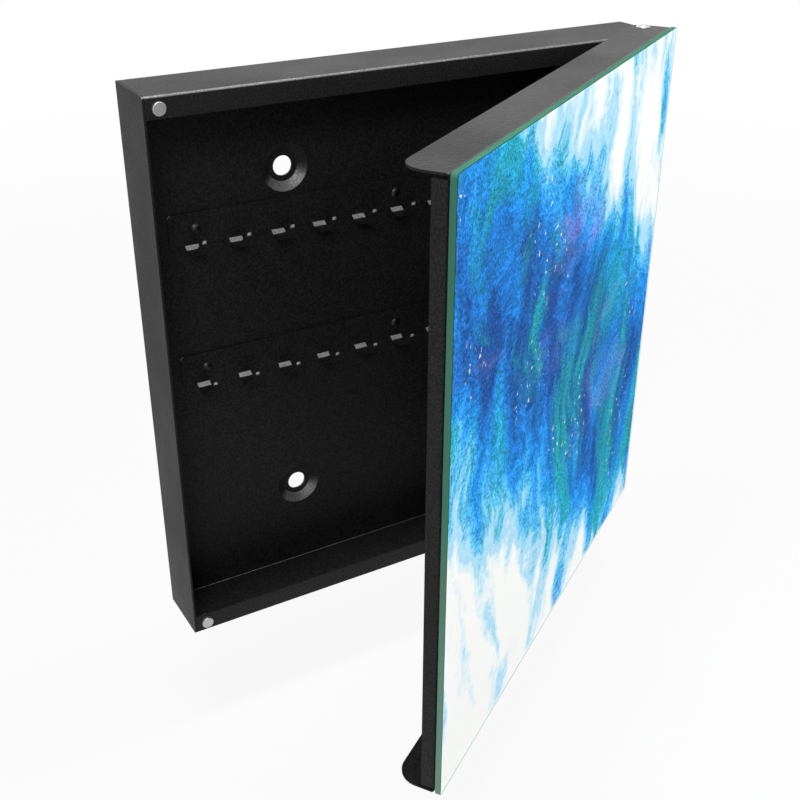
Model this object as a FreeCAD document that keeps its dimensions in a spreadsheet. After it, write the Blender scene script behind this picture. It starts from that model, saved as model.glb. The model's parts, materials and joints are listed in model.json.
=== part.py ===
# Magnetic key holder box: a shallow folded steel case for a wall, with two rows of key hooks,
# and a glass-faced steel door that swings on two riveted pins and closes against two magnets.
#
# Sizes are in millimetres: X to the right seen from the front, Y back into the wall, Z up.
# The origin lies on the wall, in the middle of the four mounting holes.
# The door is drawn closed, about its hinge axis, and its placement opens it to the rest angle.

import FreeCAD, Part
import math
import os
import re

from FreeCAD import Placement, Rotation, Vector

DIMENSIONS = {
    # folded case
    "shell_width": 296.0,
    "shell_height": 296.0,
    "shell_depth": 37.0,
    "shell_sheet": 1.0,
    "bend_radius": 1.4,
    "lip_height": 10.5,
    "seam_width": 0.25,
    "seam_depth": 0.45,
    # pressed wall mounts
    "mount_inset_x": 83.0,
    "mount_inset_z": 53.0,
    "mount_hole_diameter": 10.5,
    "dish_depth": 3.0,
    "dish_rim_diameter": 25.7,
    "dish_floor_diameter": 16.4,
    "dish_edge_radius": 0.9,
    # closing magnets
    "magnet_diameter": 6.4,
    "magnet_length": 5.0,
    "magnet_proud": 1.7,
    "magnet_inset_x": 7.2,
    "magnet_inset_z": 5.75,
    "magnet_edge_radius": 0.35,
    "magnet_clearance": 0.05,
    # hook rails
    "rail_side_gap": 18.0,
    "rail_height": 17.2,
    "rail_sheet": 1.0,
    "rail_corner_radius": 2.5,
    "upper_rail_drop": 68.1,
    "lower_rail_drop": 145.4,
    "hook_count": 11,
    "hook_end_inset": 11.5,
    "hook_root_width": 7.1,
    "hook_tip_width": 3.1,
    "hook_reach": 19.7,
    "hook_rise": 7.5,
    "hook_drop": 2.2,
    "hook_root_run": 2.3,
    "hook_floor_run": 7.6,
    "hook_root_radius": 1.2,
    "hook_floor_radius": 3.0,
    # rail rivets
    "rivet_end_inset": 14.5,
    "rivet_diameter": 3.2,
    "rivet_clearance": 0.05,
    "rivet_head_diameter": 5.2,
    "rivet_head_height": 1.1,
    "rivet_tail_diameter": 4.6,
    "rivet_tail_height": 1.4,
    # hinge
    "hinge_inset_x": 4.5,
    "hinge_inset_y": 10.9,
    "pin_diameter": 4.0,
    "pin_clearance": 0.06,
    "pin_head_diameter": 8.0,
    "pin_head_height": 1.8,
    "pin_tail_diameter": 5.6,
    "pin_tail_height": 1.2,
    "running_gap": 0.1,
    "hinge_washer_diameter": 8.4,
    "hinge_washer_thickness": 0.4,
    "backing_washer_diameter": 6.4,
    "backing_washer_thickness": 0.5,
    # door
    "rest_angle": 33.5,
    "magnet_gap": 0.1,
    "glass_overhang": 2.0,
    "glass_thickness": 3.0,
    "glass_corner_radius": 2.0,
    "glass_edge_radius": 0.3,
    "print_thickness": 0.1,
    "print_margin": 0.4,
    "tape_thickness": 0.5,
    "tape_width": 12.0,
    "tape_inset": 5.0,
    "tape_joint": 0.5,
    "tape_corner_radius": 0.5,
    "door_sheet": 1.0,
    "door_bend_radius": 1.4,
    "panel_right_inset": 1.0,
    "flange_depth": 21.0,
    "flange_corner_radius": 11.0,
    "flange_hinge_radius": 7.0,
    "strip_depth": 6.8,
    "strip_side_gap": 0.5,
    "strip_end_gap": 1.5,
    "strip_relief": 0.5,
}

doc = FreeCAD.newDocument("key_box")
sheet = doc.addObject("Spreadsheet::Sheet", "Dims")
for row, (alias, number) in enumerate(DIMENSIONS.items(), start=1):
    sheet.set(f"A{row}", alias)
    sheet.set(f"B{row}", str(number))
    sheet.setAlias(f"B{row}", alias)
doc.recompute()

ALIAS = re.compile(r"\b(" + "|".join(DIMENSIONS) + r")\b")
OVERRUN = "1"
TOLERANCE = 1e-4

# A part on the left or below is the mirror image of the one on the right or above.
SIDES = {"left": "-", "right": ""}
LEVELS = {"upper": "", "lower": "-"}

# Places that several pieces share, as formulas of the sheet's names.
RIGHT = "(shell_width / 2)"
LEFT = f"(-{RIGHT})"
TOP = "(shell_height / 2)"
BACK = "(-dish_depth)"
FRONT = "(-dish_depth - shell_depth)"
PANEL_FACE = "(-dish_depth - shell_sheet)"
HINGE_X = f"({RIGHT} - hinge_inset_x)"
HINGE_Y = f"({FRONT} + hinge_inset_y)"
RAIL_LEFT = f"({LEFT} + rail_side_gap)"
RAIL_RIGHT = f"({RIGHT} - rail_side_gap)"
RAIL_FACE = f"({PANEL_FACE} - rail_sheet)"
RAIL_DROPS = {"upper": "upper_rail_drop", "lower": "lower_rail_drop"}
RIVET_PLACES = {
    "left": f"({RAIL_LEFT} + rivet_end_inset)",
    "middle": "0",
    "right": f"({RAIL_RIGHT} - rivet_end_inset)",
}

# Depths of the closed door's layers, measured from the hinge axis.
DOOR_BACK = "(-hinge_inset_y - magnet_proud - magnet_gap)"
DOOR_FACE = f"({DOOR_BACK} - door_sheet)"
PRINT_BACK = f"({DOOR_FACE} - tape_thickness)"
GLASS_BACK = f"({PRINT_BACK} - print_thickness)"
GLASS_FACE = f"({GLASS_BACK} - glass_thickness)"
FLANGE_REAR = f"({DOOR_FACE} + flange_depth)"

# Edges of the closed door, measured from the hinge axis or from mid-height.
GLASS_LEFT = f"({LEFT} - glass_overhang - {HINGE_X})"
GLASS_RIGHT = f"({RIGHT} + glass_overhang - {HINGE_X})"
GLASS_TOP = f"({TOP} + glass_overhang)"
STRIP_INNER = f"({LEFT} - strip_side_gap - {HINGE_X})"
STRIP_OUTER = f"({STRIP_INNER} - door_sheet)"
PANEL_RIGHT = f"({GLASS_RIGHT} - panel_right_inset)"
FLANGE_INNER = f"({TOP} + hinge_washer_thickness + running_gap)"
FLANGE_OUTER = f"({FLANGE_INNER} + door_sheet)"
STRIP_TOP = f"({FLANGE_INNER} - strip_end_gap)"
HEAD_SEAT = f"({FLANGE_OUTER} + running_gap)"


def size(name):
    return float(sheet.get(name))


def bind(thing, path, text):
    thing.setExpression(path, ALIAS.sub(r"Dims.\1", text))


def place(thing, x, y, z):
    for axis, text in zip("xyz", (x, y, z)):
        bind(thing, f"Placement.Base.{axis}", text)
    return thing


def turned(thing, angle):
    """The thing turned about X, before its place is bound."""
    thing.Placement = Placement(Vector(), Rotation(Vector(1, 0, 0), angle))
    return thing


def swing(thing):
    """Puts a piece drawn about the hinge axis in place and opens it to the rest angle."""
    place(thing, HINGE_X, HINGE_Y, "0")
    bind(thing, "Placement.Rotation.Angle", "rest_angle")


def span(sign, low, high):
    """The pair (low, high), or its mirror image where the sign is '-'."""
    if sign:
        return f"-({high})", f"-({low})"
    return low, high


def block(name, x, y, z):
    """A box between three (low, high) pairs of formulas."""
    solid = doc.addObject("Part::Box", name)
    for side, (low, high) in zip(("Length", "Width", "Height"), (x, y, z)):
        bind(solid, side, f"({high}) - ({low})")
    return place(solid, x[0], y[0], z[0])


def rod(name, diameter, length, x="0", y="0", z="0"):
    """A cylinder that rises along Z from x, y, z."""
    solid = doc.addObject("Part::Cylinder", name)
    bind(solid, "Radius", f"({diameter}) / 2")
    bind(solid, "Height", length)
    return place(solid, x, y, z)


def rod_back(name, diameter, x, z, y):
    """A cylinder along Y between the (low, high) pair y."""
    solid = turned(doc.addObject("Part::Cylinder", name), -90)
    bind(solid, "Radius", f"({diameter}) / 2")
    bind(solid, "Height", f"({y[1]}) - ({y[0]})")
    return place(solid, x, y[0], z)


def cone_back(name, front_diameter, rear_diameter, length, x, y, z):
    """A cone piece that runs back along Y from x, y, z."""
    solid = turned(doc.addObject("Part::Cone", name), -90)
    bind(solid, "Radius1", f"({front_diameter}) / 2")
    bind(solid, "Radius2", f"({rear_diameter}) / 2")
    bind(solid, "Height", length)
    return place(solid, x, y, z)


def fuse(name, *solids):
    joined = doc.addObject("Part::MultiFuse", name)
    joined.Shapes = list(solids)
    joined.Refine = True
    return joined


def cut(name, base, *tools):
    result = doc.addObject("Part::Cut", name)
    result.Base = base
    result.Tool = tools[0] if len(tools) == 1 else fuse(f"{name}_tools", *tools)
    result.Refine = True
    return result


def common(name, first, second):
    result = doc.addObject("Part::Common", name)
    result.Base = first
    result.Tool = second
    return result


def rounded(name, base, radius, accepts):
    """The base with every edge that accepts() picks rounded."""
    doc.recompute()
    chosen = [number for number, edge in enumerate(base.Shape.Edges, start=1) if accepts(edge)]
    fillet = doc.addObject("Part::Fillet", name)
    fillet.Base = base
    fillet.Edges = [(number, radius, radius) for number in chosen]
    return fillet


def same(first, second):
    return abs(first - second) < TOLERANCE


def straight(edge, axis):
    """Whether an edge is a straight line along the axis 0, 1 or 2."""
    if edge.Curve.TypeId != "Part::GeomLine":
        return False
    return same(abs(edge.tangentAt(edge.FirstParameter)[axis]), 1)


def along_depth(edge):
    return straight(edge, 1)


def circular(edge, radius):
    return edge.Curve.TypeId == "Part::GeomCircle" and same(edge.Curve.Radius, radius)


# Folded case

def case_bends(name, box, radius):
    """Rounds the bends of the back panel and of the two lips."""
    doc.recompute()
    bounds = box.Shape.BoundBox

    def accepts(edge):
        depth = edge.CenterOfMass.y
        return same(depth, bounds.YMax) or (same(depth, bounds.YMin) and straight(edge, 0))

    return rounded(name, box, radius, accepts)


def mount_centre(side, level):
    x = f"{SIDES[side]}({RIGHT} - mount_inset_x)"
    z = f"{LEVELS[level]}({TOP} - mount_inset_z)"
    return x, z


def mount_boss(side, level):
    """The rear of a pressed dish, one sheet thickness outside the cone seen from the front."""
    x, z = mount_centre(side, level)
    run = "((dish_rim_diameter - dish_floor_diameter) / 2)"
    grown = f"2 * shell_sheet * (sqrt({run}^2 + dish_depth^2) - {run}) / dish_depth"
    rim = f"dish_rim_diameter + {grown}"
    floor = f"dish_floor_diameter + {grown}"
    return cone_back(f"mount_boss_{level}_{side}", rim, floor, "dish_depth", x, BACK, z)


def mount_tools(side, level):
    x, z = mount_centre(side, level)
    rim, floor = "dish_rim_diameter", "dish_floor_diameter"
    dish = cone_back(f"mount_dish_{level}_{side}", rim, floor, "dish_depth", x, PANEL_FACE, z)
    hole = rod_back(f"mount_hole_{level}_{side}", "mount_hole_diameter", x, z, (BACK, OVERRUN))
    return [dish, hole]


def corner_seams(side, level):
    """The fine joint between a side wall and the top or bottom wall, and its turn down the lip."""
    edge = f"({RIGHT} - shell_sheet)"
    x = span(SIDES[side], f"{edge} - seam_width / 2", f"{edge} + seam_width / 2")
    wall_z = span(LEVELS[level], f"{TOP} - seam_depth", f"{TOP} + {OVERRUN}")
    lip_z = span(LEVELS[level], f"{TOP} - lip_height", f"{TOP} + {OVERRUN}")
    wall_y = (f"{FRONT} - {OVERRUN}", f"{BACK} - bend_radius")
    lip_y = (f"{FRONT} - {OVERRUN}", f"{FRONT} + seam_depth")
    return [
        block(f"seam_wall_{level}_{side}", x, wall_y, wall_z),
        block(f"seam_lip_{level}_{side}", x, lip_y, lip_z),
    ]


def magnet_centre(level):
    return f"({LEFT} + magnet_inset_x)", f"{LEVELS[level]}({TOP} - magnet_inset_z)"


def magnet_hole(level):
    x, z = magnet_centre(level)
    diameter = "magnet_diameter + 2 * magnet_clearance"
    depth = (f"{FRONT} - {OVERRUN}", f"{FRONT} + shell_sheet + {OVERRUN}")
    return rod_back(f"magnet_hole_{level}", diameter, x, z, depth)


def rivet_height(rail):
    return f"({TOP} - {RAIL_DROPS[rail]} - rail_height / 2)"


def rivet_hole(name, rail, spot):
    diameter = "rivet_diameter + 2 * rivet_clearance"
    depth = (f"{RAIL_FACE} - {OVERRUN}", f"{BACK} + {OVERRUN}")
    return rod_back(f"{name}_{rail}_{spot}", diameter, RIVET_PLACES[spot], rivet_height(rail), depth)


def box_shell():
    outside = block("case_block", (LEFT, RIGHT), (FRONT, BACK), (f"-{TOP}", TOP))
    outside = case_bends("case_bends", outside, size("bend_radius"))
    room_x = (f"{LEFT} + shell_sheet", f"{RIGHT} - shell_sheet")
    room_z = (f"-{TOP} + shell_sheet", f"{TOP} - shell_sheet")
    room = block("case_room", room_x, (f"{FRONT} + shell_sheet", PANEL_FACE), room_z)
    room = case_bends("case_room_bends", room, size("bend_radius") - size("shell_sheet"))
    mouth_y = (f"{FRONT} - {OVERRUN}", f"{FRONT} + shell_sheet + {OVERRUN}")
    mouth = block("case_mouth", room_x, mouth_y, (f"-{TOP} + lip_height", f"{TOP} - lip_height"))
    case = cut("case_hollow", outside, room, mouth)

    corners = [(side, level) for side in SIDES for level in LEVELS]
    case = fuse("case_pressed", case, *[mount_boss(*corner) for corner in corners])
    pin_hole = rod(
        "case_pin_hole", "pin_diameter + 2 * pin_clearance", f"shell_height + 2 * {OVERRUN}",
        HINGE_X, HINGE_Y, f"-{TOP} - {OVERRUN}",
    )
    tools = [pin_hole]
    for corner in corners:
        tools += mount_tools(*corner)
        tools += corner_seams(*corner)
    tools += [magnet_hole(level) for level in LEVELS]
    tools += [rivet_hole("case_rivet_hole", rail, spot) for rail in RAIL_DROPS for spot in RIVET_PLACES]
    case = cut("case_pierced", case, *tools)
    rim_radius = size("dish_rim_diameter") / 2
    return rounded("box_shell", case, size("dish_edge_radius"), lambda edge: circular(edge, rim_radius))


def magnet(level):
    x, z = magnet_centre(level)
    start = f"({FRONT} - magnet_proud)"
    disc = rod_back(f"magnet_disc_{level}", "magnet_diameter", x, z, (start, f"{start} + magnet_length"))
    doc.recompute()
    face = disc.Shape.BoundBox.YMin
    return rounded(
        f"{level}_magnet", disc, size("magnet_edge_radius"), lambda edge: same(edge.CenterOfMass.y, face),
    )


# Hook rails

def bent_face(points, radii, thickness):
    """The side view of a bent strip: a line through the points, rounded at the inner ones."""
    edges = []
    start = points[0]
    for before, corner, after, radius in zip(points, points[1:], points[2:], radii):
        inward = (before - corner).normalize()
        onward = (after - corner).normalize()
        half_angle = inward.getAngle(onward) / 2
        tangent = radius / math.tan(half_angle)
        centre = corner + (inward + onward).normalize() * (radius / math.sin(half_angle))
        crown = centre + (corner - centre).normalize() * radius
        entry = corner + inward * tangent
        leave = corner + onward * tangent
        edges.append(Part.LineSegment(start, entry).toShape())
        edges.append(Part.Arc(entry, crown, leave).toShape())
        start = leave
    edges.append(Part.LineSegment(start, points[-1]).toShape())
    return Part.Wire(edges).makeOffset2D(thickness, 0, True, True)


def hook_shape():
    """One hook, bent from its rail: it drops from the rail's edge, runs forward and rises.

    It is drawn with its rail's bottom edge at the origin, half-way through the rail's sheet.
    """
    thickness = size("rail_sheet")
    reach = size("hook_reach")
    rise = size("hook_rise")
    drop = size("hook_drop")
    root = size("hook_root_run")
    floor = root + size("hook_floor_run")
    root_half = size("hook_root_width") / 2
    tip_half = size("hook_tip_width") / 2
    slope = (rise + drop) / (reach - floor)
    points = [
        Vector(0, thickness / 2, thickness),
        Vector(0, thickness / 2, 0),
        Vector(0, -root, -drop),
        Vector(0, -floor, -drop),
        Vector(0, -reach - thickness, rise + slope * thickness),
    ]
    radii = [size("hook_root_radius"), size("hook_root_radius"), size("hook_floor_radius")]
    strip = bent_face(points, radii, thickness).extrude(Vector(2 * root_half, 0, 0))
    strip.translate(Vector(-root_half, 0, 0))

    taper_start = -floor / 2
    tip_start = tip_half - reach
    left_root = Vector(-root_half, thickness, 0)
    left_taper = Vector(-root_half, taper_start, 0)
    left_tip = Vector(-tip_half, tip_start, 0)
    right_tip = Vector(tip_half, tip_start, 0)
    right_taper = Vector(root_half, taper_start, 0)
    right_root = Vector(root_half, thickness, 0)
    plan = Part.Wire([
        Part.LineSegment(left_root, left_taper).toShape(),
        Part.LineSegment(left_taper, left_tip).toShape(),
        Part.Arc(left_tip, Vector(0, -reach, 0), right_tip).toShape(),
        Part.LineSegment(right_tip, right_taper).toShape(),
        Part.LineSegment(right_taper, right_root).toShape(),
        Part.LineSegment(right_root, left_root).toShape(),
    ])
    clear_height = reach + rise + drop
    outline = Part.Face(plan).extrude(Vector(0, 0, 2 * clear_height))
    outline.translate(Vector(0, 0, -clear_height))
    return strip.common(outline)


def hook_rail(rail):
    drop = RAIL_DROPS[rail]
    rail_z = (f"{TOP} - {drop} - rail_height", f"{TOP} - {drop}")
    plate = block(f"{rail}_rail_plate", (RAIL_LEFT, RAIL_RIGHT), (RAIL_FACE, PANEL_FACE), rail_z)
    plate = rounded(
        f"{rail}_rail_corners", plate, size("rail_corner_radius"), along_depth,
    )
    plate = cut(
        f"{rail}_rail_pierced", plate,
        *[rivet_hole(f"{rail}_rail_hole", rail, spot) for spot in RIVET_PLACES],
    )
    shape = hook_shape()
    hooks = []
    for number in range(int(size("hook_count"))):
        hook = doc.addObject("Part::Feature", f"{rail}_hook_{number + 1}")
        hook.Shape = shape
        step = f"({RAIL_RIGHT} - {RAIL_LEFT} - 2 * hook_end_inset) / (hook_count - 1)"
        x = f"{RAIL_LEFT} + hook_end_inset + {number} * {step}"
        hooks.append(place(hook, x, f"{PANEL_FACE} - rail_sheet / 2", rail_z[0]))
    return fuse(f"{rail}_hook_rail", plate, *hooks)


# Riveted pins

def headed_pin(name, kind, grip):
    """A pin along Z with a domed head above the origin and a clenched tail below its grip."""
    head, dome_height = f"{kind}_head_diameter", f"{kind}_head_height"
    tail, tail_height = f"{kind}_tail_diameter", f"{kind}_tail_height"
    dome_radius = f"(({head} / 2)^2 + {dome_height}^2) / (2 * {dome_height})"
    ball = doc.addObject("Part::Sphere", f"{name}_ball")
    bind(ball, "Radius", dome_radius)
    place(ball, "0", "0", f"{dome_height} - {dome_radius}")
    cap = rod(f"{name}_cap", head, dome_height)
    dome = common(f"{name}_dome", ball, cap)
    stem = rod(f"{name}_stem", f"{kind}_diameter", f"{grip} + {tail_height}", z=f"-({grip}) - {tail_height}")
    foot = rod(f"{name}_foot", tail, tail_height, z=f"-({grip}) - {tail_height}")
    return fuse(name, dome, stem, foot)


def rail_rivet(rail, spot):
    rivet = headed_pin(f"{rail}_rail_rivet_{spot}", "rivet", "rail_sheet + shell_sheet")
    turned(rivet, 90)
    return place(rivet, RIVET_PLACES[spot], RAIL_FACE, rivet_height(rail))


def hinge_pin(level):
    grip = f"{HEAD_SEAT} - {TOP} + shell_sheet + backing_washer_thickness"
    pin = headed_pin(f"{level}_hinge_pin", "pin", grip)
    turned(pin, 180 if level == "lower" else 0)
    return place(pin, HINGE_X, HINGE_Y, f"{LEVELS[level]}{HEAD_SEAT}")


def washer(name, level, diameter, low, high):
    z_low, z_high = span(LEVELS[level], low, high)
    height = f"({z_high}) - ({z_low})"
    disc = rod(f"{name}_disc", diameter, height, HINGE_X, HINGE_Y, z_low)
    hole = rod(f"{name}_hole", "pin_diameter + 2 * pin_clearance", height, HINGE_X, HINGE_Y, z_low)
    return cut(name, disc, hole)


def hinge_washers(level):
    spacer_top = f"{TOP} + hinge_washer_thickness"
    wall_inside = f"{TOP} - shell_sheet"
    backing_bottom = f"{wall_inside} - backing_washer_thickness"
    return [
        washer(f"{level}_hinge_washer", level, "hinge_washer_diameter", TOP, spacer_top),
        washer(f"{level}_backing_washer", level, "backing_washer_diameter", backing_bottom, wall_inside),
    ]


# Door

def door_panel():
    """The folded door: a panel, a flange over and under the case, and a strip on its free side."""
    whole_height = (f"-{FLANGE_OUTER}", FLANGE_OUTER)
    tray = block("tray_block", (STRIP_OUTER, PANEL_RIGHT), (DOOR_FACE, FLANGE_REAR), whole_height)
    doc.recompute()
    bounds = tray.Shape.BoundBox

    def rear_corner(edge, x):
        centre = edge.CenterOfMass
        return straight(edge, 2) and same(centre.y, bounds.YMax) and same(centre.x, x)

    def free_corner(edge):
        return rear_corner(edge, bounds.XMin)

    def hinge_corner(edge):
        return rear_corner(edge, bounds.XMax)

    def front_bend(edge):
        centre = edge.CenterOfMass
        return same(centre.y, bounds.YMin) and not same(centre.x, bounds.XMax)

    tray = rounded("tray_free_corner", tray, size("flange_corner_radius"), free_corner)
    tray = rounded("tray_hinge_corner", tray, size("flange_hinge_radius"), hinge_corner)
    tray = rounded("tray_bends", tray, size("door_bend_radius"), front_bend)

    beyond_left = f"{STRIP_OUTER} - {OVERRUN}"
    beyond_right = f"{PANEL_RIGHT} + {OVERRUN}"
    beyond_rear = f"{FLANGE_REAR} + {OVERRUN}"
    between_flanges = (f"-{FLANGE_INNER}", FLANGE_INNER)
    room = block("tray_room", (STRIP_INNER, beyond_right), (DOOR_BACK, beyond_rear), between_flanges)
    behind_strip = block(
        "tray_behind_strip", (beyond_left, f"{STRIP_INNER} + {OVERRUN}"),
        (f"{DOOR_FACE} + strip_depth", beyond_rear), between_flanges,
    )
    tools = [room, behind_strip]
    for level, sign in LEVELS.items():
        relief_x = (beyond_left, f"{STRIP_INNER} + strip_relief")
        relief_y = (f"{DOOR_FACE} - {OVERRUN}", beyond_rear)
        tools.append(block(f"tray_relief_{level}", relief_x, relief_y, span(sign, STRIP_TOP, FLANGE_INNER)))
    tools.append(rod(
        "tray_pin_hole", "pin_diameter + 2 * pin_clearance", f"2 * ({FLANGE_OUTER} + {OVERRUN})",
        z=f"-{FLANGE_OUTER} - {OVERRUN}",
    ))
    return cut("door_panel", tray, *tools)


def door_glass():
    whole_height = (f"-{GLASS_TOP}", GLASS_TOP)
    pane = block("pane_block", (GLASS_LEFT, GLASS_RIGHT), (GLASS_FACE, GLASS_BACK), whole_height)
    pane = rounded("pane_corners", pane, size("glass_corner_radius"), along_depth)
    return rounded("door_glass", pane, size("glass_edge_radius"), lambda edge: not along_depth(edge))


def glass_print():
    x = (f"{GLASS_LEFT} + print_margin", f"{GLASS_RIGHT} - print_margin")
    z = (f"-{GLASS_TOP} + print_margin", f"{GLASS_TOP} - print_margin")
    layer = block("print_block", x, (GLASS_BACK, PRINT_BACK), z)
    radius = size("glass_corner_radius") - size("print_margin")
    return rounded("glass_print", layer, radius, along_depth)


def tapes():
    """Four strips of bonding tape between the panel and the back of the glass."""
    x_low = f"({STRIP_OUTER} + tape_inset)"
    x_high = f"({PANEL_RIGHT} - tape_inset)"
    z_high = f"({FLANGE_OUTER} - tape_inset)"
    z_side = f"({z_high} - tape_width - tape_joint)"
    y = (PRINT_BACK, DOOR_FACE)
    strips = {
        "tape_top": ((x_low, x_high), (f"{z_high} - tape_width", z_high)),
        "tape_bottom": ((x_low, x_high), (f"-{z_high}", f"-{z_high} + tape_width")),
        "tape_left": ((x_low, f"{x_low} + tape_width"), (f"-{z_side}", z_side)),
        "tape_right": ((f"{x_high} - tape_width", x_high), (f"-{z_side}", z_side)),
    }
    radius = size("tape_corner_radius")
    cut_strips = {name: block(f"{name}_block", x, y, z) for name, (x, z) in strips.items()}
    return [rounded(name, strip, radius, along_depth) for name, strip in cut_strips.items()]


def check_objects(pieces):
    failed = [thing.Name for thing in doc.Objects if {"Invalid", "Error"} & set(thing.State)]
    failed += [piece.Name for piece in pieces if piece.Shape.isNull() or not piece.Shape.isValid()]
    if failed:
        raise RuntimeError("not built: " + ", ".join(failed))


case_pieces = [box_shell()]
case_pieces += [magnet(level) for level in LEVELS]
case_pieces += [hook_rail(rail) for rail in RAIL_DROPS]
case_pieces += [rail_rivet(rail, spot) for rail in RAIL_DROPS for spot in RIVET_PLACES]
case_pieces += [hinge_pin(level) for level in LEVELS]
for hinge_level in LEVELS:
    case_pieces += hinge_washers(hinge_level)

door_pieces = [door_panel(), door_glass(), glass_print(), *tapes()]
for door_piece in door_pieces:
    swing(door_piece)

doc.recompute()
all_pieces = case_pieces + door_pieces
check_objects(all_pieces)
os.makedirs("parts", exist_ok=True)
for piece in all_pieces:
    piece.Label = piece.Name
    piece.Shape.exportStep(f"parts/{piece.Label}.step")
    print(piece.Label, len(piece.Shape.Solids), round(piece.Shape.Volume, 2))
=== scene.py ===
import json
import math

import bmesh
import bpy
from mathutils import Euler, Matrix, Vector


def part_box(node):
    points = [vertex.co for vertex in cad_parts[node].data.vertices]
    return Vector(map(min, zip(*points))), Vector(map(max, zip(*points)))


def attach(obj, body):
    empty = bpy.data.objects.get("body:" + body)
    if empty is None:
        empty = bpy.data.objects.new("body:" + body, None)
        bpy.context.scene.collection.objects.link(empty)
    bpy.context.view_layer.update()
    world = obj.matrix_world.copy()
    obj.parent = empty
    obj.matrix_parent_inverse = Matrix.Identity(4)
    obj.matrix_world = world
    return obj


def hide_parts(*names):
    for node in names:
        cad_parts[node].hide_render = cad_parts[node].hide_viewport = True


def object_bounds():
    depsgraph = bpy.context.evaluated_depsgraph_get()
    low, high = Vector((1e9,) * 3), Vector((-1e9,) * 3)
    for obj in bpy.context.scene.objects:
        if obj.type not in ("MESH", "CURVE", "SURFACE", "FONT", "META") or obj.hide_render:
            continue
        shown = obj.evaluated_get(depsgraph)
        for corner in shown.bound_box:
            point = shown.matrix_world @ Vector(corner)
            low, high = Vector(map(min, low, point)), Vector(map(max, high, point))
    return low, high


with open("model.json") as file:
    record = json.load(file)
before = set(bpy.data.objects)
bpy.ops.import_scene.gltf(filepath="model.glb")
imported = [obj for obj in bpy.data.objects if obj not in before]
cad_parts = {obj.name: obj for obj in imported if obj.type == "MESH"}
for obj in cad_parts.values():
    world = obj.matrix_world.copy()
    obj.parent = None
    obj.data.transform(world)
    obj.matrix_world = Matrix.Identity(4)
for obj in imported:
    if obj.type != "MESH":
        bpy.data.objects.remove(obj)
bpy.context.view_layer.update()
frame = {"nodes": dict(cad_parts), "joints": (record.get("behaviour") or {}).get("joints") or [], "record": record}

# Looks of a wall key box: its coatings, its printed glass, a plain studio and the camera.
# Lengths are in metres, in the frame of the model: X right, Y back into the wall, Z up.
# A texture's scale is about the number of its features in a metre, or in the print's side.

MM = 0.001
UP = Vector((0, 0, 1))

# Camera: its lens in pixels of the photograph, its sensor in millimetres, the nearest that it sees, its
# place and its aim
PHOTO_SIDE = 800
FOCAL_PIXELS = 1162.0
SENSOR_WIDTH = 36.0
NEAREST_SEEN = 10 * MM
CAMERA_PLACE = Vector((-306.5, -532.7, 271.6)) * MM
CAMERA_HEADING = math.radians(30.4)
CAMERA_PITCH = math.radians(-28.3)
CAMERA_ROLL = math.radians(0.24)

# Door: at rest it is open by as much as its hinge can still close
HINGE_JOINT = frame["joints"][0]
HINGE = Vector(HINGE_JOINT["pos_m"])
DOOR_ANGLE = math.radians(-HINGE_JOINT["range_deg"][0])
DOOR_RIGHT = Vector((math.cos(DOOR_ANGLE), math.sin(DOOR_ANGLE), 0))
DOOR_FRONT = Vector((math.sin(DOOR_ANGLE), -math.cos(DOOR_ANGLE), 0))

# Directions that the flat faces of the case and the door look along, either way
FLAT_FACINGS = (Vector((1, 0, 0)), Vector((0, 1, 0)), UP, DOOR_RIGHT, DOOR_FRONT)

# Printed layer behind the pane
PRINT_GAP = 0.03 * MM
PRINT_THICKNESS = 0.06 * MM
PRINT_CORNER_RADIUS = 1.6 * MM
PRINT_CORNER_STEPS = 8

# Powder coats: the grey of the highlight painted on the upper side of each one's bends, how metallic it turns
# there, and how far back from the front of its nodes a painted highlight runs along the tips
RAILS = ("upper_hook_rail", "lower_hook_rail")
COATS = {
    "case_coat": dict(nodes=("box_shell",), highlight_grey=0.30, highlight_metallic=0.40, tip_highlight_depth=0.0),
    "door_coat": dict(nodes=("door_panel",), highlight_grey=0.10, highlight_metallic=0.15, tip_highlight_depth=0.0),
    "rail_coat": dict(nodes=RAILS, highlight_grey=0.85, highlight_metallic=0.20, tip_highlight_depth=0.8 * MM),
}

# What the coats have in common: their greys, gloss and relief, how much smoother they are under the painted
# highlight, and the most of their colour that the painted highlight turns pale
COAT_DARK = (0.0050, 0.0050, 0.0052)
COAT_LIGHT = (0.026, 0.026, 0.0265)
COAT_EVEN = (0.0170, 0.0170, 0.0174)
COAT_SPECULAR = 0.13
COAT_ROUGHNESS = (0.44, 0.56)
COAT_RELIEF = 0.5 * MM
HIGHLIGHT_SMOOTHER = 0.20
HIGHLIGHT_COLOUR_SHARE = 0.8

# Cosines that place the painted highlight: of a face to the nearest flat direction, from a full bend to none, and
# to the upright, from where it starts to look up to where it does so fully
BEND_COSINES = (0.90, 0.99)
UPWARD_COSINES = (0.0, 0.35)

# Plated steels, by the material slot that each finishes; then the brightness that their dullest places
# keep, how far their roughness varies, and their drawn lines
PLATED_STEELS = {
    "dark_rivet": dict(name="blackened_steel", colour=(0.05, 0.05, 0.052), roughness=0.42),
    "magnet": dict(name="nickel_plate", colour=(0.50, 0.495, 0.485), roughness=0.42),
    "pin_steel": dict(name="zinc_plate", colour=(0.60, 0.61, 0.63), roughness=0.30, grain_turn=0.6),
}
PLATED_DULL = 0.86
SHEEN_SPREAD = 0.07
DRAWN_STRETCH = (40, 900, 900)
DRAWN_RELIEF = 0.02 * MM

# Foam tape
FOAM_DARK = (0.008, 0.008, 0.009)
FOAM_LIGHT = (0.03, 0.03, 0.032)
PORE_RELIEF = 0.1 * MM
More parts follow.
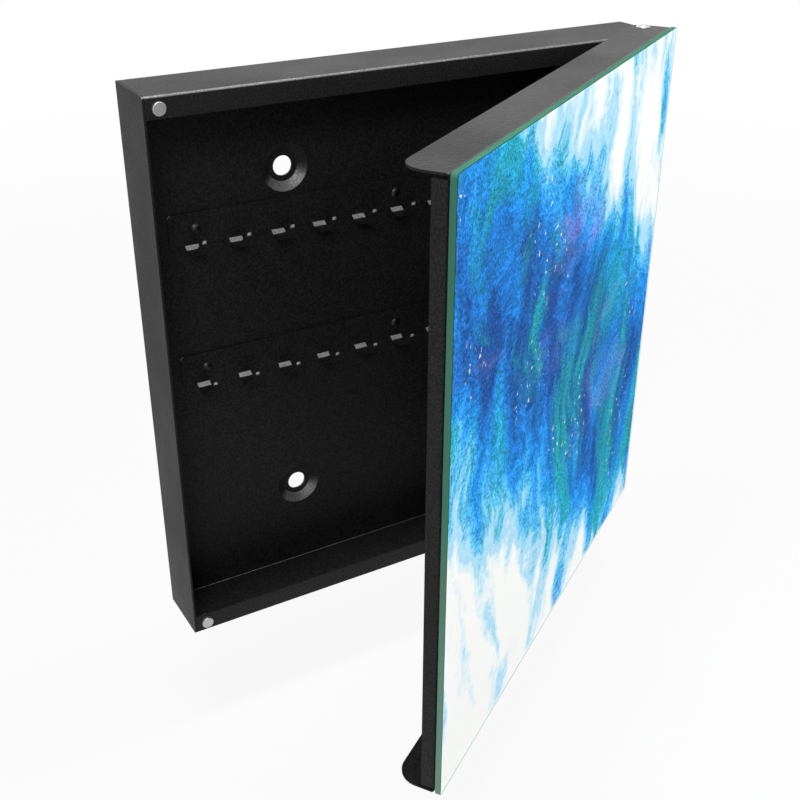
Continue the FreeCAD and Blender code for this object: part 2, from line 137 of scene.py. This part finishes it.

# Pane: its index, the most that its faces mirror, the cosines to the door's front between which edge turns to
# face, and the heights between which painted light makes its green edge paler towards the foot
GLASS_INDEX = 1.5
PANE_GLOSS_LIMIT = 0.02
EDGE_TO_FACE = (0.35, 0.8)
EDGE_DEEP = (0.050, 0.190, 0.118)
EDGE_BRIGHT = (0.105, 0.300, 0.198)
EDGE_LIT_GREEN = (0.24, 0.43, 0.33)
EDGE_LIGHT_SHARE = 0.8
PALE_BELOW = -140 * MM
GREEN_ABOVE = 50 * MM

# Colours of the wash, from the bare sheet to the deepest pool, each with its tone
WASH_COLOURS = (
    (0.25, (0.93, 0.915, 0.915)),
    (0.325, (0.66, 0.83, 0.92)),
    (0.365, (0.36, 0.66, 0.88)),
    (0.39, (0.48, 0.76, 0.91)),
    (0.46, (0.12, 0.56, 0.93)),
    (0.59, (0.013, 0.33, 0.90)),
    (0.74, (0.008, 0.19, 0.64)),
    (0.90, (0.006, 0.080, 0.34)),
)
TEAL = (0.014, 0.42, 0.44)
VIOLET = (0.26, 0.27, 0.82)
DRY_FLECK = (0.9, 0.95, 0.98)

# Patterns of the wash: the noise of each, and how it is turned and stretched on the sheet
DRIFT = dict(scale=1.7, detail=4.0)
VEILS = dict(scale=2.1, detail=5.0, distortion=0.2, turn=0.55, stretch=(3.4, 1.1, 1))
POOLS = dict(scale=3.4, detail=7.0, roughness=0.55, distortion=0.6, turn=0.55, stretch=(1.5, 0.8, 1))
STREAKS = dict(scale=2.4, detail=3.0, turn=0.35, stretch=(7.0, 1.6, 1))
MOTTLE = dict(scale=52.0, detail=7.0, roughness=0.68)
TEAL_PLACES = dict(scale=2.6, detail=9.0, roughness=0.64, turn=0.9, stretch=(2.6, 0.9, 1))
VIOLET_PLACES = dict(scale=3.1, detail=9.0, roughness=0.62, distortion=0.4, stretch=(1.0, 1.3, 1))
GRAIN = dict(scale=190.0, detail=3.0, roughness=0.8)
FLECKS = dict(scale=60.0, detail=3.0, roughness=0.6, turn=0.5, stretch=(1.6, 1.0, 1))
FLECK_GROUPS = dict(scale=4.0, detail=2.0)

# Layout of the wash, in shares of the sheet's side: how far it drifts about, where its band starts at the
# left, how it falls to the right, and how far from its middle it thins out; then the tone that its layers
# add to, and the tones between which the sheet turns from dry to wet
DRIFT_REACH = 0.55
BAND_START = 0.84
BAND_FALL = -0.62
BAND_THINS = (0.02, 0.5)
TONE_START = -0.805
WET_TONES = (0.38, 0.50)

# Studio: the floor, how much of its own white it shows near the object and far off, and the light that
# comes from all round
FLOOR_DROP = 60 * MM
FLOOR_SIZE = 12.0
FLOOR_CELLS = 8
FLOOR_GREY = (0.86, 0.86, 0.865)
WHITE_SHARE_NEAR, WHITE_SHARE_FAR = 0.9, 1.0
NEAR_FLOOR, FAR_FLOOR = 0.3, 1.6
WORLD_FILL = 0.12

# Soft lights: where each hangs, what it points at, its width and height, and its power in watts
LIGHTS = {
    "strip_light": dict(place=(0, -0.11, 1.25), target=(0, -0.03, 0.15), size=(1.0, 0.18), power=12.0),
    "overhead_light": dict(place=(-0.70, -1.05, 0.95), target=(0, 0, 0), size=(0.40, 0.40), power=7.5),
    "right_light": dict(place=(1.35, -0.85, 0.45), target=(0.05, -0.1, 0), size=(1.0, 1.2), power=4.2),
    "rear_light": dict(place=(0.70, 1.15, 0.80), target=(0, 0, 0), size=(1.6, 1.0), power=4.0),
}


# Node graphs

def rgb(red, green, blue):
    return (red, green, blue, 1.0)


class Graph:
    """The node tree of a material or a world, with short calls to add nodes and link them."""

    def __init__(self, owner, output="ShaderNodeOutputMaterial"):
        owner.use_nodes = True
        self.owner = owner
        self.tree = owner.node_tree
        self.tree.nodes.clear()
        self.output = self.node(output)

    def finish(self, shader):
        """Sends the shader to the output, and gives back the finished material or world."""
        self.feed(self.output.inputs["Surface"], shader)
        return self.owner

    def feed(self, socket, value):
        """Sets a socket to a number or a colour, or links it to another socket."""
        if isinstance(value, bpy.types.NodeSocket):
            self.tree.links.new(value, socket)
        else:
            socket.default_value = value

    def feed_in_order(self, made, *values):
        """Feeds a node's first sockets, and gives back its outputs."""
        for socket, value in zip(made.inputs, values):
            self.feed(socket, value)
        return made.outputs

    def node(self, kind, **inputs):
        """A node of that kind; a keyword names a socket, and its value is a number or another socket."""
        made = self.tree.nodes.new(kind)
        for label, value in inputs.items():
            self.feed(made.inputs[label.replace("_", " ")], value)
        return made

    def shader(self, kind, **inputs):
        return self.node("ShaderNode" + kind, **inputs).outputs[0]

    def mix(self, factor, first, second):
        made = self.tree.nodes.new("ShaderNodeMixShader")
        return self.feed_in_order(made, factor, first, second)["Shader"]

    def math(self, operation, first, second=0.0, third=0.0):
        made = self.tree.nodes.new("ShaderNodeMath")
        made.operation = operation
        return self.feed_in_order(made, first, second, third)["Value"]

    def vector(self, operation, first, second):
        made = self.tree.nodes.new("ShaderNodeVectorMath")
        made.operation = operation
        gives = "Value" if operation in ("DOT_PRODUCT", "LENGTH") else "Vector"
        return self.feed_in_order(made, first, second)[gives]

    def remap(self, value, low, high, to_low=0.0, to_high=1.0):
        """The value eased from low..high to to_low..to_high."""
        made = self.tree.nodes.new("ShaderNodeMapRange")
        made.interpolation_type = "SMOOTHSTEP"
        return self.feed_in_order(made, value, low, high, to_low, to_high)["Result"]

    def blend(self, factor, first, second, mode="MIX"):
        """One colour blended into another."""
        made = self.tree.nodes.new("ShaderNodeMix")
        made.data_type = "RGBA"
        made.blend_type = mode
        sockets = {socket.identifier: socket for socket in (*made.inputs, *made.outputs)}
        self.feed(sockets["Factor_Float"], factor)
        self.feed(sockets["A_Color"], first)
        self.feed(sockets["B_Color"], second)
        return sockets["Result_Color"]

    def ramp(self, value, stops):
        """A colour ramp through (place, colour) stops."""
        made = self.node("ShaderNodeValToRGB", Fac=value)
        elements = made.color_ramp.elements
        while len(elements) < len(stops):
            elements.new(0.5)
        for element, (place, colour) in zip(elements, stops):
            element.position = place
            element.color = rgb(*colour)
        return made.outputs["Color"]

    def coordinates(self, source):
        return self.node("ShaderNodeTexCoord").outputs[source]

    def parts(self, vector):
        """The outputs X, Y and Z of a vector."""
        return self.node("ShaderNodeSeparateXYZ", Vector=vector).outputs

    def place(self, turn=0.0, stretch=(1, 1, 1), source="Object", warp=None):
        """Texture coordinates, turned about Z, scaled and pushed about by a warp."""
        where = self.coordinates(source)
        if warp is not None:
            where = self.vector("ADD", where, warp)
        mapped = self.node("ShaderNodeMapping", Vector=where)
        mapped.inputs["Rotation"].default_value = (0, 0, turn)
        mapped.inputs["Scale"].default_value = stretch
        return mapped.outputs["Vector"]

    def noise(self, where, scale, detail, roughness=0.5, distortion=0.0, output="Fac"):
        made = self.node(
            "ShaderNodeTexNoise", Vector=where, Scale=scale, Detail=detail,
            Roughness=roughness, Distortion=distortion,
        )
        return made.outputs[output]

    def bump(self, height, strength, distance):
        made = self.node("ShaderNodeBump", Height=height, Strength=strength, Distance=distance)
        return made.outputs["Normal"]


def material_graph(name):
    return Graph(bpy.data.materials.new(name))


# Finishes

def painted_highlight_places(graph, where, front, tip_highlight_depth):
    """1 where a highlight is painted into the coat, and 0 elsewhere."""
    # The highlight is painted on the upper side of bends and pressings, which face none of the flat directions, as
    # if lit from above.
    facing = graph.coordinates("Normal")
    upward = graph.remap(graph.vector("DOT_PRODUCT", facing, UP), *UPWARD_COSINES)
    aligned = 0.0
    for direction in FLAT_FACINGS:
        along = graph.math("ABSOLUTE", graph.vector("DOT_PRODUCT", facing, direction))
        aligned = graph.math("MAXIMUM", aligned, along)
    highlight = graph.math("MULTIPLY", graph.remap(aligned, *BEND_COSINES, 1.0, 0.0), upward)

    # A highlight is painted too along the front of a node, where its tips catch the light.
    if tip_highlight_depth:
        tip_highlight = graph.remap(graph.parts(where)["Y"], front, front + tip_highlight_depth, 1.0, 0.0)
        highlight = graph.math("MAXIMUM", highlight, tip_highlight)
    return highlight


def powder_coat(name, nodes, highlight_grey, highlight_metallic, tip_highlight_depth):
    """Matt textured powder coat: fine speckle over orange peel, with a highlight painted along the upper side of
    the bends, where it is paler and smoother.
    """
    graph = material_graph(name)
    where = graph.place()
    cloud = graph.noise(where, scale=16.0, detail=5.0)
    speckle = graph.noise(where, scale=1100.0, detail=3.0, roughness=0.65)
    peel = graph.noise(where, scale=700.0, detail=2.0)

    colour = graph.blend(graph.remap(speckle, 0.36, 0.64), rgb(*COAT_DARK), rgb(*COAT_LIGHT))
    colour = graph.blend(graph.remap(cloud, 0.3, 0.7, 0.0, 0.25), colour, rgb(*COAT_EVEN))
    # The mask marks a painted highlight: the coat turns paler, more metallic and smoother there, as if lit from
    # above.
    highlight_mask = painted_highlight_places(graph, where, front=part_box(nodes[0])[0].y, tip_highlight_depth=tip_highlight_depth)
    highlight = graph.math("MULTIPLY", highlight_mask, graph.remap(speckle, 0.3, 0.6, 0.5, 1.0))
    highlight_colour = rgb(highlight_grey, highlight_grey, 1.02 * highlight_grey)
    colour = graph.blend(graph.math("MULTIPLY", highlight, HIGHLIGHT_COLOUR_SHARE), colour, highlight_colour)

    matt = graph.remap(cloud, 0.25, 0.75, *COAT_ROUGHNESS)
    height = graph.math("MULTIPLY_ADD", peel, 0.5, graph.math("MULTIPLY", speckle, 0.5))
    return graph.finish(graph.shader(
        "BsdfPrincipled", Base_Color=colour, Metallic=graph.math("MULTIPLY", highlight, highlight_metallic),
        Roughness=graph.math("MULTIPLY_ADD", highlight_mask, -HIGHLIGHT_SMOOTHER, matt),
        Specular_IOR_Level=COAT_SPECULAR, Normal=graph.bump(height, 1.0, COAT_RELIEF),
    ))


def plated_steel(name, colour, roughness, grain_turn=0.0):
    """Plated metal with faint drawn lines and a soft uneven sheen."""
    graph = material_graph(name)
    lines = graph.noise(graph.place(turn=grain_turn, stretch=DRAWN_STRETCH), scale=6.0, detail=3.0)
    cloud = graph.noise(graph.place(), scale=240.0, detail=3.0)
    mixed = graph.math("MULTIPLY_ADD", lines, 0.5, graph.math("MULTIPLY", cloud, 0.5))
    dull = rgb(*(PLATED_DULL * part for part in colour))
    return graph.finish(graph.shader(
        "BsdfPrincipled", Base_Color=graph.blend(mixed, dull, rgb(*colour)), Metallic=1.0,
        Roughness=graph.remap(mixed, 0.2, 0.8, roughness - SHEEN_SPREAD, roughness + SHEEN_SPREAD),
        Normal=graph.bump(lines, 0.15, DRAWN_RELIEF),
    ))


def foam_tape():
    """Black closed-cell foam: dull, with small pores."""
    graph = material_graph("foam_tape")
    pores = graph.noise(graph.place(), scale=1800.0, detail=3.0)
    colour = graph.blend(pores, rgb(*FOAM_DARK), rgb(*FOAM_LIGHT))
    relief = graph.bump(pores, 0.6, PORE_RELIEF)
    return graph.finish(graph.shader("BsdfPrincipled", Base_Color=colour, Roughness=0.85, Normal=relief))


def pane_face(graph, outside):
    """Clear glass, with a faint mirror on its outer side."""
    clear = graph.shader("BsdfRefraction", Color=rgb(0.992, 1.0, 0.996), Roughness=0.0, IOR=GLASS_INDEX)
    mirror = graph.shader("BsdfGlossy", Color=rgb(1, 1, 1), Roughness=0.015)
    fresnel = graph.node("ShaderNodeFresnel", IOR=GLASS_INDEX).outputs["Fac"]
    gloss = graph.math("MINIMUM", fresnel, PANE_GLOSS_LIMIT)
    return graph.mix(graph.math("MULTIPLY", gloss, outside), clear, mirror)


def pane_edge(graph, outside):
    """The cut edge: green from outside, with painted light that makes it paler towards the foot, and from inside
    only a tint, where it lets the light out.
    """
    depth = graph.noise(graph.place(stretch=(1, 1, 0.35)), scale=30.0, detail=2.0)
    green = graph.blend(depth, rgb(*EDGE_DEEP), rgb(*EDGE_BRIGHT))
    # Painted light: the green turns paler towards the foot, as if white light came through the edge there.
    height = graph.parts(graph.place())["Z"]
    painted_edge_light = graph.remap(height, PALE_BELOW, GREEN_ABOVE, EDGE_LIGHT_SHARE, 0.0)
    green = graph.blend(painted_edge_light, green, rgb(*EDGE_LIT_GREEN))
    solid = graph.shader("BsdfPrincipled", Base_Color=green, Roughness=0.5, Specular_IOR_Level=0.0)
    leaving = graph.shader("BsdfTransparent", Color=rgb(0.62, 0.74, 0.69))
    return graph.mix(outside, leaving, solid)


def pane_glass():
    """Clear float glass that looks green through its edges."""
    graph = material_graph("pane_glass")
    facing = graph.vector("DOT_PRODUCT", graph.coordinates("Normal"), DOOR_FRONT)
    on_face = graph.remap(graph.math("ABSOLUTE", facing), *EDGE_TO_FACE)
    outside = graph.math("SUBTRACT", 1.0, graph.node("ShaderNodeNewGeometry").outputs["Backfacing"])
    pane = graph.mix(on_face, pane_edge(graph, outside), pane_face(graph, outside))

    # Light goes straight through the pane on its way to the print.
    shadow = graph.node("ShaderNodeLightPath").outputs["Is Shadow Ray"]
    through = graph.shader("BsdfTransparent", Color=rgb(0.978, 0.982, 0.98))
    return graph.finish(graph.mix(shadow, pane, through))


# Picture on the pane

def sheet_noise(graph, scale, detail, roughness=0.5, distortion=0.0, output="Fac", **placing):
    """Noise on the flat map of the sheet, turned, stretched or warped as placing says."""
    return graph.noise(graph.place(source="UV", **placing), scale, detail, roughness, distortion, output)


def wash_tone(graph, drift, mottle):
    """How much pigment lies at each place, from none at about 0.25 to a deep pool at 0.9."""
    # The wash lies in a broad band that falls from the upper left to the lower right.
    place = graph.parts(graph.place(source="UV", warp=drift))
    middle = graph.math("MULTIPLY_ADD", place["X"], BAND_FALL, BAND_START)
    offset = graph.math("ABSOLUTE", graph.math("SUBTRACT", place["Y"], middle))
    band = graph.remap(offset, *BAND_THINS, 1.0, 0.0)

    # Slanting veils, pools and streaks break the band up.
    veils = sheet_noise(graph, **VEILS, warp=drift)
    pools = sheet_noise(graph, **POOLS)
    streaks = sheet_noise(graph, **STREAKS, warp=drift)
    tone = TONE_START
    for layer, share in ((band, 0.62), (veils, 0.55), (pools, 0.75), (streaks, 0.60), (mottle, 0.24)):
        tone = graph.math("MULTIPLY_ADD", layer, share, tone)
    return tone


def colour_wash():
    """A loose wash of blues with teal and violet that drifts down across white in slanting veils."""
    graph = material_graph("colour_wash")
    drift = graph.vector("SUBTRACT", sheet_noise(graph, **DRIFT, output="Color"), (0.5, 0.5, 0.5))
    drift = graph.vector("MULTIPLY", drift, (DRIFT_REACH, DRIFT_REACH, 0))
    mottle = sheet_noise(graph, **MOTTLE, warp=drift)
    tone = wash_tone(graph, drift, mottle)
    wet = graph.remap(tone, *WET_TONES)
    colour = graph.ramp(tone, WASH_COLOURS)

    # Teal and violet run into the blue, up to a share, where there is pigment to take them up.
    ragged = graph.math("MULTIPLY_ADD", mottle, 0.22, -0.11)
    for pattern, low, high, share, pigment in (
        (TEAL_PLACES, 0.47, 0.64, 0.85, TEAL),
        (VIOLET_PLACES, 0.54, 0.74, 0.7, VIOLET),
    ):
        places = graph.math("ADD", sheet_noise(graph, **pattern, warp=drift), ragged)
        run = graph.math("MULTIPLY", graph.remap(places, low, high, 0.0, share), wet)
        colour = graph.blend(run, colour, rgb(*pigment))

    # Pigment settles in the paper's grain and leaves a few dry white flecks.
    grain = graph.remap(sheet_noise(graph, **GRAIN), 0.38, 0.62, 0.52, 1.34)
    settled = graph.math("MULTIPLY", grain, graph.remap(mottle, 0.3, 0.7, 1.3, 0.75))
    colour = graph.blend(wet, colour, graph.blend(1.0, colour, settled, mode="MULTIPLY"))
    groups = graph.remap(sheet_noise(graph, **FLECK_GROUPS), 0.52, 0.62)
    fleck = graph.remap(sheet_noise(graph, **FLECKS), 0.63, 0.665)
    fleck = graph.math("MULTIPLY", fleck, graph.math("MULTIPLY", wet, groups))
    colour = graph.blend(fleck, colour, rgb(*DRY_FLECK))
    return graph.finish(graph.shader(
        "BsdfPrincipled", Base_Color=colour, Roughness=0.6, Specular_IOR_Level=0.0,
    ))


# Printed layer

def object_from(name, mesh):
    """An object in the scene that holds the finished mesh."""
    data = bpy.data.meshes.new(name)
    mesh.to_mesh(data)
    mesh.free()
    made = bpy.data.objects.new(name, data)
    bpy.context.scene.collection.objects.link(made)
    return made


def reach(node, direction):
    """How far a node reaches along a direction from the hinge axis: (least, most)."""
    far = [(vertex.co - HINGE).dot(direction) for vertex in frame["nodes"][node].data.vertices]
    return min(far), max(far)


def rounded_outline(left, right, low, high, radius):
    """The corners of a rounded rectangle, anticlockwise, as (across, up) pairs."""
    centres = (
        (right - radius, high - radius, 0), (left + radius, high - radius, 1),
        (left + radius, low + radius, 2), (right - radius, low + radius, 3),
    )
    outline = []
    for across, up, quarter in centres:
        for step in range(PRINT_CORNER_STEPS + 1):
            angle = (quarter + step / PRINT_CORNER_STEPS) * math.pi / 2
            outline.append((across + radius * math.cos(angle), up + radius * math.sin(angle)))
    return outline


def print_layer():
    """The thin coat of colour behind the pane, with its own flat map from corner to corner."""
    left, right = reach("glass_print", DOOR_RIGHT)
    low, high = reach("glass_print", UP)
    front_depth = reach("door_glass", DOOR_FRONT)[0] - PRINT_GAP
    mesh = bmesh.new()
    rings = []
    for depth in (front_depth, front_depth - PRINT_THICKNESS):
        ring = []
        for across, up in rounded_outline(left, right, low, high, PRINT_CORNER_RADIUS):
            ring.append(mesh.verts.new(HINGE + across * DOOR_RIGHT + depth * DOOR_FRONT + up * UP))
        rings.append(ring)
    front, back = rings
    mesh.faces.new(front)
    mesh.faces.new(list(reversed(back)))
    for first in range(len(front)):
        second = (first + 1) % len(front)
        mesh.faces.new((front[second], front[first], back[first], back[second]))
    bmesh.ops.recalc_face_normals(mesh, faces=mesh.faces)

    flat = mesh.loops.layers.uv.new("flat")
    for face in mesh.faces:
        for corner in face.loops:
            place = corner.vert.co - HINGE
            across = (place.dot(DOOR_RIGHT) - left) / (right - left)
            up = (place.dot(UP) - low) / (high - low)
            corner[flat].uv = (across, up)
    return object_from("print_layer", mesh)


# Finishes on the model

def paint(thing, material):
    """Gives an object one material."""
    thing.data.materials.clear()
    thing.data.materials.append(material)


def dress_model():
    """Gives every node of the model its finish, and the pane its printed layer."""
    finishes = {slot: plated_steel(**looks) for slot, looks in PLATED_STEELS.items()}
    finishes["clear_glass"] = pane_glass()
    finishes["bonding_tape"] = foam_tape()
    for part in frame["record"]["subparts"]:
        finish = finishes.get(part["material_slot"])
        if finish:
            paint(frame["nodes"][part["node"]], finish)

    for name, coat in COATS.items():
        material = powder_coat(name, **coat)
        for node in coat["nodes"]:
            paint(frame["nodes"][node], material)

    layer = print_layer()
    paint(layer, colour_wash())
    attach(layer, "door")
    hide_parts("glass_print")


# Studio

def seen_directly(graph):
    """1 for a ray from the camera, a mirror or a pane, and 0 for a ray that carries light."""
    rays = graph.node("ShaderNodeLightPath").outputs
    seen = graph.math("MAXIMUM", rays["Is Camera Ray"], rays["Is Glossy Ray"])
    return graph.math("MAXIMUM", seen, rays["Is Transmission Ray"])


def studio_floor():
    """A floor that looks white and keeps a soft shadow of the object."""
    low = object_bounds()[0][2] - FLOOR_DROP
    mesh = bmesh.new()
    bmesh.ops.create_grid(mesh, x_segments=FLOOR_CELLS, y_segments=FLOOR_CELLS, size=FLOOR_SIZE / 2)
    floor = object_from("floor", mesh)
    floor.location = (0, 0, low)

    graph = material_graph("pale_floor")
    lit = graph.shader("BsdfDiffuse", Color=rgb(*FLOOR_GREY))
    white = graph.shader("Emission", Color=rgb(1, 1, 1), Strength=1.0)
    spread = graph.vector("LENGTH", graph.coordinates("Object"), (0, 0, 0))
    share = graph.remap(spread, NEAR_FLOOR, FAR_FLOOR, WHITE_SHARE_NEAR, WHITE_SHARE_FAR)
    paint(floor, graph.finish(graph.mix(graph.math("MULTIPLY", seen_directly(graph), share), lit, white)))


def studio_world():
    """White all round where it is seen directly, and a faint even light elsewhere."""
    graph = Graph(bpy.data.worlds.new("white_studio"), output="ShaderNodeOutputWorld")
    strength = graph.math("MAXIMUM", seen_directly(graph), WORLD_FILL)
    bpy.context.scene.world = graph.finish(graph.shader("Background", Color=rgb(1, 1, 1), Strength=strength))


def soft_box(name, place, target, size, power):
    """A rectangular light that points at its target and isn't seen itself."""
    light = bpy.data.lights.new(name, "AREA")
    light.shape = "RECTANGLE"
    light.size, light.size_y = size
    light.energy = power
    box = bpy.data.objects.new(name, light)
    box.location = place
    box.rotation_euler = (Vector(target) - Vector(place)).to_track_quat("-Z", "Y").to_euler()
    box.visible_camera = False
    bpy.context.scene.collection.objects.link(box)


def photo_camera():
    """The camera where the photograph was taken from."""
    data = bpy.data.cameras.new("photo_camera")
    data.sensor_width = SENSOR_WIDTH
    data.lens = FOCAL_PIXELS / PHOTO_SIDE * SENSOR_WIDTH
    data.clip_start = NEAREST_SEEN
    camera = bpy.data.objects.new("photo_camera", data)
    aim = Euler((math.pi / 2 + CAMERA_PITCH, 0, -CAMERA_HEADING)).to_matrix()
    aim = aim @ Matrix.Rotation(CAMERA_ROLL, 3, "Z")
    camera.matrix_world = Matrix.Translation(CAMERA_PLACE) @ aim.to_4x4()
    bpy.context.scene.collection.objects.link(camera)
    bpy.context.scene.camera = camera


photo_camera()
dress_model()
studio_floor()
studio_world()
for name, light in LIGHTS.items():
    soft_box(name, **light)
bpy.context.scene.view_settings.view_transform = "Standard"
